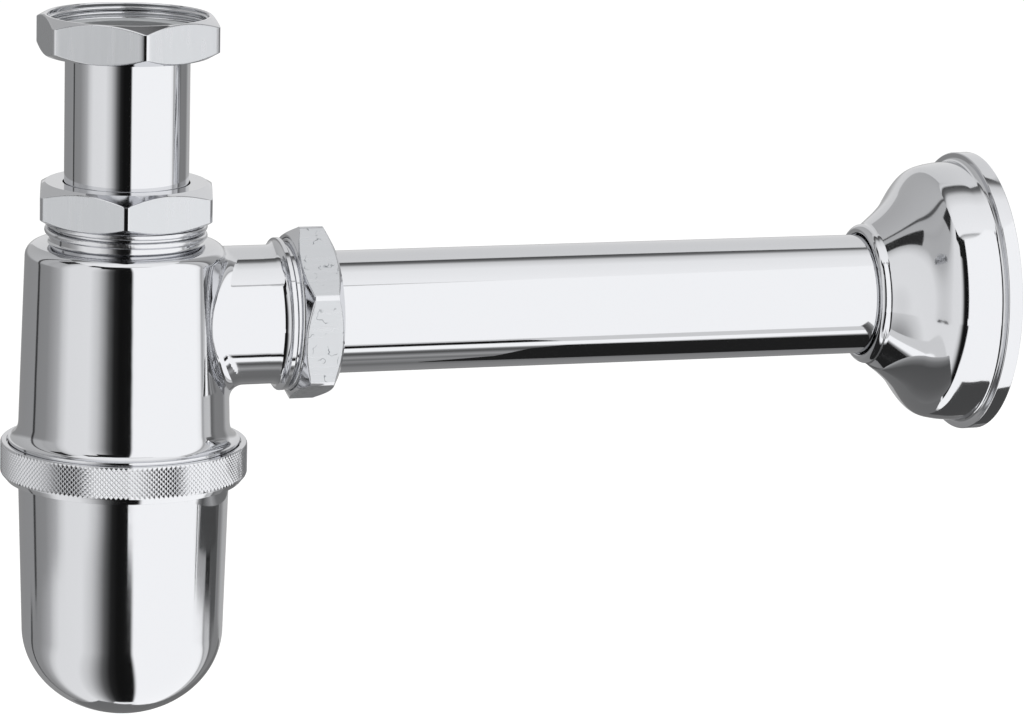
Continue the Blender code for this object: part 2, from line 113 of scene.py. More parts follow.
def finish(name, colour, metallic, roughness, patches, grain=None):
    """A material whose roughness varies in patches, with a fine relief over it.

    patches are (size in mm, stretch, detail); grain is (size in mm, stretch, height in mm).
    """
    material = bpy.data.materials.new(name)
    material.use_nodes = True
    tree, shader = inside(material)
    shader.inputs["Base Color"].default_value = linear(colour)
    shader.inputs["Metallic"].default_value = metallic
    place = add(tree, "ShaderNodeTexCoord").outputs["Object"]
    size, stretch, detail = patches
    spot = add(tree, "ShaderNodeMapping", {"Vector": place, "Scale": stretch})
    per_metre = 1 / (size * MM)
    cloud = add(tree, "ShaderNodeTexNoise", {"Vector": spot, "Scale": per_metre, "Detail": detail})
    low, high = roughness
    spread = add(tree, "ShaderNodeMapRange", {"Value": cloud, "To Min": low, "To Max": high})
    tree.links.new(spread.outputs[0], shader.inputs["Roughness"])
    if grain:
        size, stretch, height = grain
        spot = add(tree, "ShaderNodeMapping", {"Vector": place, "Scale": stretch})
        per_metre = 1 / (size * MM)
        cloud = {"Vector": spot, "Scale": per_metre, "Detail": 2.0}
        cloud = add(tree, "ShaderNodeTexNoise", cloud)
        bump = add(tree, "ShaderNodeBump", {"Height": cloud, "Distance": height * MM})
        tree.links.new(bump.outputs[0], shader.inputs["Normal"])
    return material


CHROME = "D7D8DB"
SATIN = "C8CACD"  # satin plating sends some light aside, so it looks darker

# Chrome plate on drawn brass tube: a clear mirror, with draw lines too faint to break it
tube_chrome = finish(
    "chrome_on_drawn_tube", CHROME, 1.0, (0.035, 0.065), (6.0, PLAIN, 3.0), (30.0, PLAIN, 0.035)
)

# Chrome plate on cast brass, ground and polished by hand: the mirror wavers a little
cast_chrome = finish(
    "chrome_on_polished_casting",
    CHROME,
    1.0,
    (0.04, 0.075),
    (5.0, PLAIN, 3.0),
    (11.0, PLAIN, 0.025),
)

# Chrome plate on a turned part: mirror with the lathe's fine rings
turned_chrome = finish("chrome_on_turned_brass", CHROME, 1.0, (0.05, 0.09), (2.0, PLAIN, 3.0))

# Chrome plate on a cut thread: the tool's tearing leaves the ridges a little dull
thread_chrome = finish(
    "chrome_on_cut_thread", CHROME, 1.0, (0.1, 0.2), (0.8, PLAIN, 2.0), (1.6, PLAIN, 0.05)
)

# Chrome plate on the flats of hexagon bar: satin, with lines along the bar
ALONG_BAR = (1, 1, 0.06)
flat_chrome = finish(
    "chrome_on_hexagon_flats",
    SATIN,
    1.0,
    (0.22, 0.36),
    (0.9, ALONG_BAR, 2.0),
    (0.7, ALONG_BAR, 0.006),
)

# The same flats on the outlet nut, scratched by the spanner: short dark marks, broken and bent
ALONG_LYING_BAR = (0.06, 1, 1)
scratched_chrome = finish(
    "chrome_on_scratched_flats",
    SATIN,
    1.0,
    (0.22, 0.36),
    (0.9, ALONG_LYING_BAR, 2.0),
    (0.7, ALONG_LYING_BAR, 0.006),
)
tree, shader = inside(scratched_chrome)
place = add(tree, "ShaderNodeTexCoord").outputs["Object"]
level = add(tree, "ShaderNodeTexNoise", {"Vector": place, "Scale": 1 / (7.0 * MM), "Detail": 3.0})
off = add(tree, "ShaderNodeMath", {0: level, 1: 0.5}, operation="SUBTRACT")
off = add(tree, "ShaderNodeMath", {0: off}, operation="ABSOLUTE")
line = add(
    tree,
    "ShaderNodeMapRange",
    {"Value": off, "From Min": 0.003, "From Max": 0.008, "To Min": 1.0, "To Max": 0.0},
)
part = add(tree, "ShaderNodeTexNoise", {"Vector": place, "Scale": 1 / (3.0 * MM), "Detail": 1.0})
part = add(tree, "ShaderNodeMapRange", {"Value": part, "From Min": 0.52, "From Max": 0.6})
scratch = add(tree, "ShaderNodeMath", {0: line, 1: part}, operation="MULTIPLY")
scored = {"Factor": scratch, 6: linear(SATIN), 7: linear("7A7E82")}
scored = add(tree, "ShaderNodeMix", scored, data_type="RGBA")
tree.links.new(scored.outputs[2], shader.inputs["Base Color"])

# Pressed brass sheet, chrome plated: polished on the bell
sheet_chrome = finish(
    "chrome_on_pressed_sheet", CHROME, 1.0, (0.05, 0.09), (4.0, PLAIN, 3.0), (14.0, PLAIN, 0.012)
)

# Chrome plate over a rolled knurl: sharp little pyramids that glitter
knurl_chrome = finish("chrome_on_rolled_knurl", CHROME, 1.0, (0.12, 0.22), (1.0, PLAIN, 2.0))

# EPDM rubber, moulded: matt black with a fine grain
rubber = finish(
    "moulded_EPDM_rubber", "26262A", 0.0, (0.55, 0.7), (0.6, PLAIN, 2.0), (0.35, PLAIN, 0.01)
)

# The union's washer: pale grey rubber, matt
grey_rubber = finish(
    "moulded_grey_rubber", "9A9C9E", 0.0, (0.5, 0.65), (0.8, PLAIN, 2.0), (0.5, PLAIN, 0.02)
)

# Nylon, punched from sheet: milky and slightly waxy
nylon = finish("punched_nylon_sheet", "D9D6CC", 0.0, (0.4, 0.52), (1.5, PLAIN, 2.0))


# Shapes


def stand(points, axis, place):
    """Turn points of a piece made about its own upright axis to where the piece goes."""
    if axis == OUTWARDS:
        points = np.column_stack((points[:, 2], points[:, 1], -points[:, 0]))
    return points + np.array(place)


def add_piece(name, points, faces, normals, materials, face_material=None):
    """A smooth mesh object from points in millimetres, with each point's own normal."""
    mesh = bpy.data.meshes.new(name)
    mesh.from_pydata((points * MM).tolist(), [], faces)
    mesh.polygons.foreach_set("use_smooth", np.ones(len(mesh.polygons), bool))
    for material in materials:
        mesh.materials.append(material)
    if face_material is not None:
        mesh.polygons.foreach_set("material_index", face_material)
    mesh.normals_split_custom_set_from_vertices(normals.tolist())
    piece = bpy.data.objects.new(name, mesh)
    bpy.context.scene.collection.objects.link(piece)
    return piece


def unit(vector):
    return vector / np.linalg.norm(vector)


def arc(centre, radii, start, end, steps):
    """Points (radius, height) along an ellipse's arc between two angles in degrees."""
    angles = np.radians(np.linspace(start, end, steps + 1))
    (x, y), (wide, high) = centre, radii
    return [(x + wide * math.cos(a), y + high * math.sin(a)) for a in angles]


def ease(start, start_slope, end, end_slope, steps):
    """Points (radius, height) of a smooth curve, its radius growing by a slope at each end."""
    run = end[1] - start[1]
    points = []
    for t in np.linspace(0, 1, steps + 1):
        radius = (
            start[0] * (2 * t**3 - 3 * t**2 + 1)
            + start_slope * run * (t**3 - 2 * t**2 + t)
            + end[0] * (3 * t**2 - 2 * t**3)
            + end_slope * run * (t**3 - t**2)
        )
        points.append((radius, start[1] + run * t))
    return points


def cross_section(corners, closed=True):
    """Fine points and outward normals of a section given as (radius, height, rounding) corners."""
    corners = [(*corner, 0)[:3] for corner in corners]
    place = np.array([corner[:2] for corner in corners])
    after_all = np.roll(place, -1, axis=0)
    area = np.sum(place[:, 0] * after_all[:, 1] - after_all[:, 0] * place[:, 1])
    if area < 0:
        corners, place = corners[::-1], place[::-1]
    points, normals = [], []
    count = len(corners)
    for n, here in enumerate(place):
        before, after = place[n - 1], place[(n + 1) % count]
        if not closed and n in (0, count - 1):
            along = unit(after - here if n == 0 else here - before)
            points.append(here)
            normals.append(np.array((along[1], -along[0])))
            continue
        come, go = unit(here - before), unit(after - here)
        turn = math.atan2(come[0] * go[1] - come[1] * go[0], come @ go)
        side = np.array((come[1], -come[0]))
        if corners[n][2] == 0 or abs(turn) < 0.01:
            points.append(here)
            normals.append(unit(side + np.array((go[1], -go[0]))))
            continue
        reach = corners[n][2] * math.tan(abs(turn) / 2)
        back, on = np.linalg.norm(here - before), np.linalg.norm(after - here)
        reach = min(reach, 0.48 * back, 0.48 * on)
        radius = reach / math.tan(abs(turn) / 2) * math.copysign(1, turn)
        centre = here - come * reach - side * radius
        steps = max(2, math.ceil(abs(turn) / math.radians(12)))
        for step in range(steps + 1):
            angle = turn * step / steps
            c, s = math.cos(angle), math.sin(angle)
            normal = np.array((side[0] * c - side[1] * s, side[0] * s + side[1] * c))
            points.append(centre + normal * radius)
            normals.append(normal)
    return np.array(points), np.array(normals)


def lathe(name, corners, material, axis=UP, place=(0, 0, 0), closed=True, segments=SEGMENTS):
    """A turned piece: a section spun about its axis, and closed where it meets the axis."""
    section, section_normals = cross_section(corners, closed)
    angles = np.linspace(0, 2 * math.pi, segments, endpoint=False)
    ring = section[:, 0] > 1e-6
    points, normals, starts = [], [], []
    for (radius, height), (out, up), full in zip(section, section_normals, ring):
        starts.append(len(points))
        if not full:
            points.append((0, 0, height))
            normals.append((0, 0, math.copysign(1, up)))
            continue
        for angle in angles:
            c, s = math.cos(angle), math.sin(angle)
            points.append((radius * c, radius * s, height))
            normals.append((out * c, out * s, up))
    faces = []
    pairs = list(zip(range(len(section) - 1), range(1, len(section))))
    for low, high in pairs + ([(len(section) - 1, 0)] if closed else []):
        a, b = starts[low], starts[high]
        for i in range(segments):
            j = (i + 1) % segments
            if not ring[low]:
                faces.append((a, b + j, b + i))
            elif not ring[high]:
                faces.append((a + i, a + j, b))
            else:
                faces.append((a + i, a + j, b + j, b + i))
    points = stand(np.array(points), axis, place)
    normals = stand(np.array(normals), axis, (0, 0, 0))
    return add_piece(name, points, faces, normals, [material])


def soft_lower(a, b, width):
    """The lower of two values, rounded where they cross, and the first one's share in it."""
    share = np.clip(0.5 + 0.5 * (b - a) / width, 0, 1)
    return a * share + b * (1 - share) - width * share * (1 - share), share


CHAMFER = math.radians(30)
NUT_EDGE = 0.15  # rounding of a nut's turned edges
FLAT_STEPS = 56
NEAR_CORNER, CHAMFER_BLEND = 0.25, 0.45  # how softly flats and chamfers meet


def hexagon_nut(name, sizes, hex_turn, way, flats, axis, place, worn):
    """A nut turned from hexagon bar, its flats cut off by the chamfers' cones.

    sizes are the half width across flats and across corners, the radii of the two faces, of the
    mouth, of the bore and of the end's hole, then the height and the end wall.
    Height 0 is the open mouth, and the end wall lies at the full height along way, 1 or -1.
    worn is how softly two flats meet.
    """
    flat, corner, face, end_face, mouth, bore, hole, height, end_wall = sizes
    slope = math.tan(CHAMFER)
    rise, end_rise = (corner - face) * slope, (corner - end_face) * slope
    corners = [
        (mouth, 0, 0.12),
        (face, 0, NUT_EDGE),
        *[(face + (corner - face) * t, rise * t) for t in np.linspace(0.03, 0.97, 34)],
        (corner, rise, NUT_EDGE),
        (corner, height - end_rise, NUT_EDGE),
        *[
            (end_face + (corner - end_face) * t, height - end_rise * t)
            for t in np.linspace(0.97, 0.03, 40)
        ],
        (end_face, height, NUT_EDGE),
        (hole, height, 0.25),
        (hole, height - end_wall, NUT_EDGE),
        (bore, height - end_wall, 0.1),
        (bore, (mouth - bore) * 1.1, 0.1),
    ]
    section, section_normals = cross_section([(r, way * z, *rest) for r, z, *rest in corners])
    spread = np.sin(np.linspace(-math.pi / 2, math.pi / 2, FLAT_STEPS + 1))[:-1] * math.pi / 6
    local = np.tile(spread, 6)
    angles = np.concatenate([spread + hex_turn + n * math.pi / 3 for n in range(6)])
    limit, limit_slope = flat / np.cos(local), flat * np.tan(local) / np.cos(local)
    blend = np.where(section[:, :1] < corner - NEAR_CORNER, CHAMFER_BLEND, worn)
    radius, share = soft_lower(section[:, :1], limit[None, :], blend)
    along_radius = -section_normals[:, 1:] * share
    along_height = section_normals[:, :1] * np.ones_like(share)
    around = (1 - share) * limit_slope[None, :]
    out, side, up = along_height * radius, -along_height * around, -radius * along_radius
    c, s = np.cos(angles)[None, :], np.sin(angles)[None, :]
    heights = section[:, 1:] * np.ones_like(share)
    points = np.stack((radius * c, radius * s, heights), -1).reshape(-1, 3)
    normals = np.stack((out * c - side * s, out * s + side * c, up), -1).reshape(-1, 3)
    normals /= np.linalg.norm(normals, axis=1)[:, None]
    rows, columns = share.shape
    faces, kinds = [], []
    for row in range(rows):
        after = (row + 1) % rows
        for column in range(columns):
            beside = (column + 1) % columns
            faces.append(
                (
                    row * columns + column,
                    row * columns + beside,
                    after * columns + beside,
                    after * columns + column,
                )
            )
            kinds.append(int(share[row, column] < 0.5 and share[after, beside] < 0.5))
    points, normals = stand(points, axis, place), stand(normals, axis, (0, 0, 0))
    return add_piece(name, points, faces, normals, [turned_chrome, flats], kinds)


# The cast body's skin


def rounded_both(a, b, size):
    """Inside both of two distances, with a rounded edge."""
    inner = np.minimum(np.maximum(a, b), -size)
    return inner + np.hypot(np.maximum(a + size, 0), np.maximum(b + size, 0))


def filleted_either(a, b, ball, lean):
    """Inside either of two distances, with the fillet that a rolling ball leaves between them.

    lean is the cosine of the angle between the two surfaces' normals.
    """
    u, v = ball - a, ball - b
    in_fillet = (u - lean * v > 0) & (v - lean * u > 0)
    from_centre = np.sqrt(np.maximum(u * u + v * v - 2 * lean * u * v, 0) / (1 - lean * lean))
    return np.where(in_fillet, ball - from_centre, np.minimum(a, b))


def wall_radius(height):
    return BODY_TOP + BODY_TAPER * (BODY_CORNER - height) / (BODY_CORNER - BODY_FOOT)


def shoulder_height(radius):
    return SHOULDER + SHOULDER_SLOPE * (BODY_TOP - SHOULDER_ROUND - radius)


def skin_field(points):
    """Distance, below zero in the metal, to the bottle's wall with its filleted side branch."""
    x, y, z = points.T
    radius = np.hypot(x, y)
    side, top = radius - wall_radius(z), z - shoulder_height(radius)
    body = rounded_both(side, top, SHOULDER_ROUND)
    up = z - OUTLET
    reach = np.maximum(np.hypot(y, up), 1e-6)
    branch = np.where(x > 0, reach - BRANCH, 50.0)
    high = np.maximum(up / reach, 0.1)
    ball = np.clip(ROOT_ROOM / high - BRANCH, 0.9, ROOT_FILLET)
    aside, above = np.maximum(side + SHOULDER_ROUND, 1e-6), np.maximum(top + SHOULDER_ROUND, 0)
    lean = (aside * y / np.maximum(radius, 1e-6) * y + above * up) / reach / np.hypot(aside, above)
    outside = filleted_either(body, branch, ball, np.clip(lean, -0.5, 0.97))
    wall = np.maximum(outside, -outside - SKIN_WALL)
    opened = np.maximum(wall, np.where(up > 0, CAST_BORE + 0.5 - radius, -1.0))
    return np.maximum(opened, np.maximum(SKIN_LOW - z, x - SKIN_END))


def slope_of(field, points, step=0.002):
    """A field's gradient by central differences."""
    shifts = np.eye(3) * step
    return np.stack([(field(points + s) - field(points - s)) / (2 * step) for s in shifts], -1)


def surface_mesh(field, low, high, cell):
    """A field's zero surface: grid points drawn onto it, faces, and the field's own normals."""
    axes = [np.arange(a, b + cell, cell) for a, b in zip(low, high)]
    shape = [len(axis) for axis in axes]
    grid = np.stack(np.meshgrid(*axes, indexing="ij"), -1).reshape(-1, 3)
    values = field(grid).reshape(shape)
    inner = [n - 1 for n in shape]
    total, count = np.zeros((*inner, 3)), np.zeros(inner)
    base = np.stack(np.meshgrid(*[np.arange(n) for n in inner], indexing="ij"), -1).astype(float)
    for axis in range(3):
        beside = [n for n in range(3) if n != axis]
        for first in (0, 1):
            for second in (0, 1):
                start = np.zeros(3, int)
                start[beside[0]], start[beside[1]] = first, second
                end = start.copy()
                end[axis] += 1
                v0, v1 = (
                    values[tuple(slice(o, o + n) for o, n in zip(corner, inner))]
                    for corner in (start, end)
                )
                crossed = (v0 < 0) != (v1 < 0)
                part = np.where(crossed, v0 / np.where(crossed, v0 - v1, 1), 0)
                spot = base + start
                spot[..., axis] += part
                total += spot * crossed[..., None]
                count += crossed
    used = count > 0
    number = np.full(inner, -1)
    number[used] = np.arange(used.sum())
    points = np.array(low) + total[used] / count[used][:, None] * cell
    faces = []
    for axis in range(3):
        b, c = (axis + 1) % 3, (axis + 2) % 3
        ahead = np.roll(values, -1, axis)
        crossed = (values < 0) != (ahead < 0)
        at = np.argwhere(crossed)
        at = at[(at[:, axis] < shape[axis] - 1) & (at[:, b] > 0) & (at[:, c] > 0)]
        at = at[(at[:, b] < shape[b] - 1) & (at[:, c] < shape[c] - 1)]
        step_b, step_c = np.eye(3, dtype=int)[b], np.eye(3, dtype=int)[c]
        ring = [at - step_b - step_c, at - step_c, at, at - step_b]
        quads = np.stack([number[tuple(cell_at.T)] for cell_at in ring], -1)
        outwards = values[tuple(at.T)] < 0
        faces.append(np.where(outwards[:, None], quads, quads[:, ::-1]))
    for _ in range(6):
        slope = slope_of(field, points)
        move = -(field(points) / np.maximum((slope**2).sum(1), 0.05))[:, None] * slope
        length = np.maximum(np.linalg.norm(move, axis=1), 1e-9)
        points = points + move * np.minimum(1, 0.5 * cell / length)[:, None]
    normals = slope_of(field, points)
    normals /= np.maximum(np.linalg.norm(normals, axis=1), 1e-9)[:, None]
    return points, np.concatenate(faces).tolist(), normals


# What repeats or winds, by Geometry Nodes


def new_tree(name, inputs):
    """A Geometry Nodes group with named inputs; gives it, its inputs and their identifiers."""
    tree = bpy.data.node_groups.new(name, "GeometryNodeTree")
    tree.interface.new_socket("Geometry", in_out="OUTPUT", socket_type="NodeSocketGeometry")
    sockets = {}
    for label, kind in inputs.items():
        socket = tree.interface.new_socket(label, in_out="INPUT", socket_type=kind)
        sockets[label] = socket.identifier
    start = tree.nodes.new("NodeGroupInput")
    return tree, {label: start.outputs[label] for label in inputs}, sockets


def grow(name, tree, sockets, values, axis=UP, place=(0, 0, 0)):
    """Run a Geometry Nodes group with its inputs set, and keep its result as a plain mesh."""
    holder = bpy.data.objects.new(name + "_made", bpy.data.meshes.new(name + "_made"))
    bpy.context.scene.collection.objects.link(holder)
    modifier = holder.modifiers.new("make", "NODES")
    modifier.node_group = tree
    for label, value in values.items():
        modifier[sockets[label]] = value
    made = holder.evaluated_get(bpy.context.evaluated_depsgraph_get())
    mesh = bpy.data.meshes.new_from_object(made)
    bpy.data.objects.remove(holder)
    mesh.name = name
    if axis == OUTWARDS:
        mesh.transform(Matrix.Rotation(math.pi / 2, 4, "Y"))
    mesh.transform(Matrix.Translation(Vector(place) * MM))
    piece = bpy.data.objects.new(name, mesh)
    bpy.context.scene.collection.objects.link(piece)
    return piece


def finish_off(tree, made, smooth, material):
    """End a group: real mesh, shading and material, then the group's output."""
    made = add(tree, "GeometryNodeRealizeInstances", {"Geometry": made})
    made = add(tree, "GeometryNodeSetShadeSmooth", {"Geometry": made, "Shade Smooth": smooth})
    made = add(tree, "GeometryNodeSetMaterial", {"Geometry": made, "Material": material})
    add(tree, "NodeGroupOutput", {0: made})


def knurl_tree():
    """Rows of small pyramids round a band, each row half a pitch on from the last."""
    tree, given, sockets = new_tree(
        "knurled_band",
        {
            "Around": "NodeSocketInt",
            "Rows": "NodeSocketInt",
            "Radius": "NodeSocketFloat",
            "Low": "NodeSocketFloat",
            "Row height": "NodeSocketFloat",
            "Half width": "NodeSocketFloat",
            "Point height": "NodeSocketFloat",
            "Finish": "NodeSocketMaterial",
        },
    )
    around, rows, radius = given["Around"], given["Rows"], given["Radius"]
    row_height, half_width = given["Row height"], given["Half width"]
    total = add(tree, "ShaderNodeMath", {0: around, 1: rows}, operation="MULTIPLY")
    index = add(tree, "GeometryNodeInputIndex")
    middle = add(tree, "ShaderNodeMath", {0: index, 1: 0.5}, operation="ADD")
    row = add(tree, "ShaderNodeMath", {0: middle, 1: around}, operation="DIVIDE")
    row = add(tree, "ShaderNodeMath", {0: row}, operation="FLOOR")
    shift = add(tree, "ShaderNodeMath", {0: row, 1: 0.5}, operation="MULTIPLY")
    turns = add(tree, "ShaderNodeMath", {0: index, 1: shift}, operation="ADD")
    turns = add(tree, "ShaderNodeMath", {0: turns, 1: around}, operation="DIVIDE")
    angle = add(tree, "ShaderNodeMath", {0: turns, 1: 2 * math.pi}, operation="MULTIPLY")
    across = add(tree, "ShaderNodeMath", {0: angle}, operation="COSINE")
    across = add(tree, "ShaderNodeMath", {0: radius, 1: across}, operation="MULTIPLY")
    deep = add(tree, "ShaderNodeMath", {0: angle}, operation="SINE")
    deep = add(tree, "ShaderNodeMath", {0: radius, 1: deep}, operation="MULTIPLY")
    height = add(tree, "ShaderNodeMath", {0: row, 1: row_height}, operation="MULTIPLY")
    height = add(tree, "ShaderNodeMath", {0: given["Low"], 1: height}, operation="ADD")
    spot = add(tree, "ShaderNodeCombineXYZ", {"X": across, "Y": deep, "Z": height})
    points = add(tree, "GeometryNodePoints", {"Count": total, "Position": spot})
    turned = add(tree, "ShaderNodeCombineXYZ", {"Y": math.pi / 2, "Z": angle})
    pyramid = add(
        tree,
        "GeometryNodeMeshCone",
        {"Vertices": 4, "Radius Top": 0.0, "Radius Bottom": 1.0, "Depth": given["Point height"]},
    )
    size = add(tree, "ShaderNodeCombineXYZ", {"X": row_height, "Y": half_width, "Z": 1.0})
    pyramid = add(tree, "GeometryNodeTransform", {"Geometry": pyramid, "Scale": size})
    copies = add(
        tree,
        "GeometryNodeInstanceOnPoints",
        {"Points": points, "Instance": pyramid, "Rotation": turned},
    )
    finish_off(tree, copies, False, given["Finish"])
    return tree, sockets


def thread_tree():
    """A thread's ridge: an oval swept along a helix."""
    tree, given, sockets = new_tree(
        "thread_ridge",
        {
            "Steps": "NodeSocketInt",
            "Turns": "NodeSocketFloat",
            "Radius": "NodeSocketFloat",
            "Rise": "NodeSocketFloat",
            "Half depth": "NodeSocketFloat",
            "Half width": "NodeSocketFloat",
            "Finish": "NodeSocketMaterial",
        },
    )
    helix = add(
        tree,
        "GeometryNodeCurveSpiral",
        {
            "Resolution": given["Steps"],
            "Rotations": given["Turns"],
            "Start Radius": given["Radius"],
            "End Radius": given["Radius"],
            "Height": given["Rise"],
        },
    )
    helix = add(tree, "GeometryNodeSetCurveNormal", {"Curve": helix}, mode="Z_UP")
    oval = add(tree, "GeometryNodeCurvePrimitiveCircle", {"Resolution": 12, "Radius": 1.0})
    half_depth, half_width = given["Half depth"], given["Half width"]
    size = add(tree, "ShaderNodeCombineXYZ", {"X": half_depth, "Y": half_width, "Z": 1.0})
    oval = add(tree, "GeometryNodeTransform", {"Geometry": oval, "Scale": size})
    ridge = {"Curve": helix, "Profile Curve": oval, "Fill Caps": True}
    finish_off(tree, add(tree, "GeometryNodeCurveToMesh", ridge), True, given["Finish"])
    return tree, sockets


def place_piece(piece, node):
    """The piece rides on its node's body and stands for the node, which is hidden."""
    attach(piece, node)
    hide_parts(node)


# Union nut with its thread, the washer, and the flanged inlet tube

union_sizes = (UNION_APOTHEM, UNION_CORNER, 21.3, 21.3, 20.75, 20.5, TUBE_HOLE, UNION_HEIGHT, 2.2)
union_turn = math.radians(-1.3)
place_piece(
    hexagon_nut("union_nut", union_sizes, union_turn, -1, flat_chrome, UP, (0, 0, 0), 0.6),
    "inlet_union_nut",
)
place_piece(
    lathe(
        "inlet_tube_with_flange",
        [
            (TUBE_BORE, TUBE_FLANGE_TOP, 0.3),
            (TUBE_FLANGE, TUBE_FLANGE_TOP, 0.2),
            (TUBE_FLANGE, TUBE_FLANGE_LOW, 0.2),
            (TUBE, TUBE_FLANGE_LOW, 0.15),
            (TUBE, DIP_END, 0.25),
            (TUBE_BORE, DIP_END, 0.25),
        ],
        tube_chrome,
    ),
    "inlet_tube",
)
place_piece(
    lathe(
        "inlet_sealing_washer",
        [(r, z, 0.25) for r, z in ((15.0, -6.3), (19.3, -6.3), (19.3, -3.8), (15.0, -3.8))],
        grey_rubber,
    ),
    "inlet_washer",
)

# Neck joint and outlet joint: nut, slip washer and cone seal

HIDDEN_SEGMENTS = 128
SEAL_TIP, SEAL_HEAD = -3.0, 1.5  # heights from the mouth
WASHER_LOW, WASHER_HIGH = 1.7, 2.7


def compression_joint(side, nut_sizes, hex_turn, nut_place, mouth_place, axis, thread, flats):
    """A nut with its washer and cone seal; thread is the radius of the thread that it goes on."""
    name = side + "_compression_nut"
    nut = hexagon_nut(name, nut_sizes, math.radians(hex_turn), 1, flats, axis, nut_place, 0.15)
    place_piece(nut, side + "_nut")
    mouth = thread - 1.1
    seal = [
        (TUBE_HOLE, SEAL_TIP, 0.15),
        (mouth + (CAST_BORE - mouth) * 0.75 - 0.3, SEAL_TIP, 0.15),
        (thread - 1.4, 0.0, 0.1),
        (thread - 0.4, 0.2, 0.15),
        (thread - 0.4, SEAL_HEAD, 0.2),
        (TUBE_HOLE, SEAL_HEAD, 0.2),
    ]
    piece = lathe(side + "_cone_seal_ring", seal, rubber, axis, mouth_place, True, HIDDEN_SEGMENTS)
    place_piece(piece, side + "_cone_seal")
    washer = [
        (TUBE_HOLE, WASHER_LOW, 0.12),
        (thread, WASHER_LOW, 0.12),
        (thread, WASHER_HIGH, 0.12),
        (TUBE_HOLE, WASHER_HIGH, 0.12),
    ]
    piece = lathe(side + "_slip_ring", washer, nylon, axis, mouth_place, True, HIDDEN_SEGMENTS)
    place_piece(piece, side + "_slip_washer")


compression_joint(
    "neck",
    (NECK_APOTHEM, NECK_CORNER, 21.6, 20.8, 21.2, 21.0, TUBE_HOLE, NECK_NUT_HEIGHT, 2.3),
    -12.2,
    (0, 0, NECK_NUT_LOW),
    (0, 0, NECK_MOUTH),
    UP,
    NECK_THREAD,
    flat_chrome,
)
compression_joint(
    "outlet",
    (OUTLET_APOTHEM, OUTLET_CORNER, 20.6, 19.8, 20.2, 19.9, TUBE_HOLE, OUTLET_NUT_HEIGHT, 2.3),
    -20.8,
    (OUTLET_NUT_NEAR, 0, OUTLET),
    (COLLAR_MOUTH, 0, OUTLET),
    OUTWARDS,
    COLLAR_THREAD,
    scratched_chrome,
)

# The cast body: skin, neck, collar and foot

SKIN_BOX, SKIN_CELL = ((-29.0, -29.0, -106.0), (36.6, 29.0, -57.0)), 0.6
skin = surface_mesh(skin_field, *SKIN_BOX, SKIN_CELL)
place_piece(add_piece("body_skin", *skin, [cast_chrome]), "trap_body")
place_piece(
    lathe(
        "body_neck",
        [
            (CAST_BORE, -61.5, 0.1),
            (22.4, -61.5, 0.1),
            (22.4, shoulder_height(22.4) - UNDER),
            (NECK_THREAD_ROOT, shoulder_height(NECK_THREAD_ROOT) - UNDER, 0.8),
            (NECK_THREAD_ROOT, NECK_MOUTH, 0.3),
            (19.1, NECK_MOUTH, 0.1),
            (CAST_BORE, NECK_MOUTH - 4.0, 0.1),
        ],
        turned_chrome,
    ),
    "trap_body",
)
place_piece(
    lathe(
        "body_collar",
        [
            (CAST_BORE, 32.0, 0.1),
            (BRANCH - UNDER, 32.0, 0.1),
            (BRANCH - UNDER, 37.5),
            *arc((BRANCH + 1.8, 37.5), (1.8, 2.4), 180, 90, 12)[1:-1],
            (19.9, 39.9, 0.1),
            (19.9, 41.0, 0.2),
            (COLLAR_THREAD_ROOT, 41.5, 0.3),
            (COLLAR_THREAD_ROOT, COLLAR_MOUTH, 0.3),
            (18.1, COLLAR_MOUTH, 0.1),
            (CAST_BORE, COLLAR_MOUTH - 4.0, 0.1),
        ],
        cast_chrome,
        OUTWARDS,
        (0, 0, OUTLET),
    ),
    "trap_body",
)
place_piece(
    lathe(
        "body_foot",
        [
            (25.5, -103.5, 0.1),
            (wall_radius(-103.5) - UNDER, -103.5, 0.1),
            (wall_radius(BODY_FOOT) - UNDER, BODY_FOOT),
            *arc((FOOT, BODY_FOOT), (FOOT - wall_radius(BODY_FOOT), 4.5), 180, 270, 20)[1:-1],
            (FOOT, BODY_FOOT - 4.5, 0.25),
            (FOOT, FOOT_LOW, 0.2),
            (SPIGOT, FOOT_LOW, 0.1),
            (SPIGOT, SPIGOT_LOW, 0.3),
            (26.8, SPIGOT_LOW, 0.2),
            (26.8, RING_TOP, 0.2),
            (25.5, RING_TOP + 4.5, 0.2),
        ],
        cast_chrome,
    ),
    "trap_body",
)

# Cleaning cup with its knurled ring

CUP_DOME = CUP_ROUND_TOP - CUP_BOTTOM
place_piece(
    lathe(
        "cleaning_cup",
        [
            *arc((0, CUP_ROUND_TOP), (CUP_LOW - CUP_WALL, CUP_DOME - CUP_WALL), -90, 0, 40),
            (CUP_TOP - CUP_WALL, RING_FLOOR, 0.3),
            (RING_BORE, RING_FLOOR, 0.2),
            (RING_BORE, RING_TOP - 1.1, 0.1),
            (30.3, RING_TOP - 1.1, 0.1),
            (30.3, RING_TOP, 0.15),
            (RING_KNURL_ROOT, RING_TOP, 0.3),
            (RING_KNURL_ROOT, RING_LOW + 1.6, 0.2),
            (30.4, RING_LOW, 0.25),
            (CUP_TOP, RING_LOW, 0.6),
            *arc((0, CUP_ROUND_TOP), (CUP_LOW, CUP_DOME), 0, -90, 48),
        ],
        turned_chrome,
        closed=False,
    ),
    "bottle_cup",
)
low, high = RING_FLOOR + 0.2, RING_FLOOR + 1.5
place_piece(
    lathe(
        "cup_flat_seal",
        [(26.0, low, 0.2), (28.9, low, 0.2), (28.9, high, 0.2), (26.0, high, 0.2)],
        rubber,
    ),
    "cup_seal",
)

# Outlet pipe, wall flange and its friction ring

